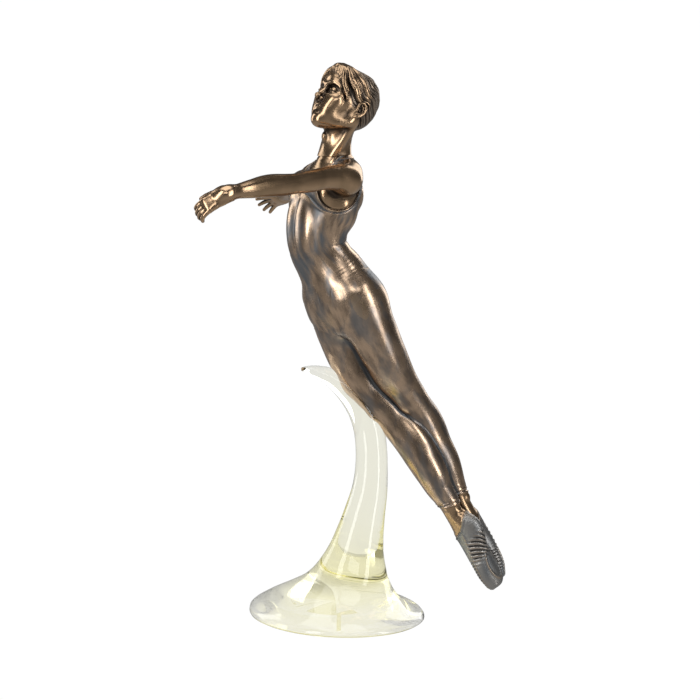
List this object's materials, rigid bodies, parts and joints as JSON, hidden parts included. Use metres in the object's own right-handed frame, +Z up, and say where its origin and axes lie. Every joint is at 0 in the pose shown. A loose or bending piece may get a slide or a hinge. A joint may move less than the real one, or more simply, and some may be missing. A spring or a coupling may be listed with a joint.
{
  "type": "dancer statuette",
  "caption": "Bronze statuette of a ballet dancer in mid leap, carried on a clear flared stand that curls up under the thigh.",
  "frame": {"origin": "centre of the stand's foot on the plane it rests on", "axes": "+Z up from the rest plane; the dancer faces -X and -Y, and the legs trail towards +X"},
  "size_m": [0.1526, 0.1959, 0.2804],
  "materials": {
    "bronze_skin": "polished warm bronze with darker recesses",
    "bronze_costume": "brushed dark bronze with a blue-grey patina",
    "clear_resin": "clear cast resin with a faint yellow tint",
    "steel_pin": "plain"
  },
  "bodies": {
    "root": {"clear_stand": "clear_resin", "thigh_pin": "clear_resin", "knee_pin": "clear_resin", "torso": "bronze_costume", "head": "bronze_skin", "neck_dowel": "steel_pin", "left_arm": "bronze_skin", "left_shoulder_dowel": "steel_pin", "right_arm": "bronze_skin", "right_shoulder_dowel": "steel_pin", "left_leg": "bronze_costume", "left_hip_dowel": "steel_pin", "right_leg": "bronze_costume", "right_hip_dowel": "steel_pin"}
  },
  "joints": []
}
